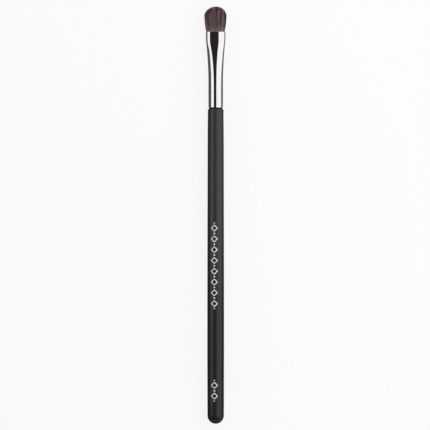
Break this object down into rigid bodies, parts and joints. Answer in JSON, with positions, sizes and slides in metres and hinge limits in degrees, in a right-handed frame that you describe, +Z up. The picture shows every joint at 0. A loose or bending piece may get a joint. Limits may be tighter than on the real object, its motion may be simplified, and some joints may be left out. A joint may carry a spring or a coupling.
{
  "type": "makeup brush",
  "caption": "Flat eye-colour brush: slim matt black turned handle, bright plated ferrule flattened at its mouth, short domed tuft of dark brown hair.",
  "frame": {"origin": "centre of the brush's bounding box, on the table that it lies on", "axes": "+Y along the brush towards the hair tip, +X across the width of the flattened head, +Z up, away from the table and square to the flat side of the head"},
  "size_m": [0.009, 0.17, 0.0067],
  "materials": {
    "black_lacquer": "matt black lacquer over turned wood",
    "plated_metal": "bright nickel or chrome plating, lightly drawn along its length",
    "brown_hair": "dark brown soft hair with a slight mauve cast",
    "cotton_thread": "undyed binding thread",
    "clear_resin": "cured amber epoxy",
    "wood_glue": "dried adhesive film"
  },
  "bodies": {
    "root": {"handle": "black_lacquer", "ferrule": "plated_metal", "hair_tuft": "brown_hair", "root_binding": "cotton_thread", "root_resin": "clear_resin", "tenon_adhesive": "wood_glue"}
  },
  "joints": []
}
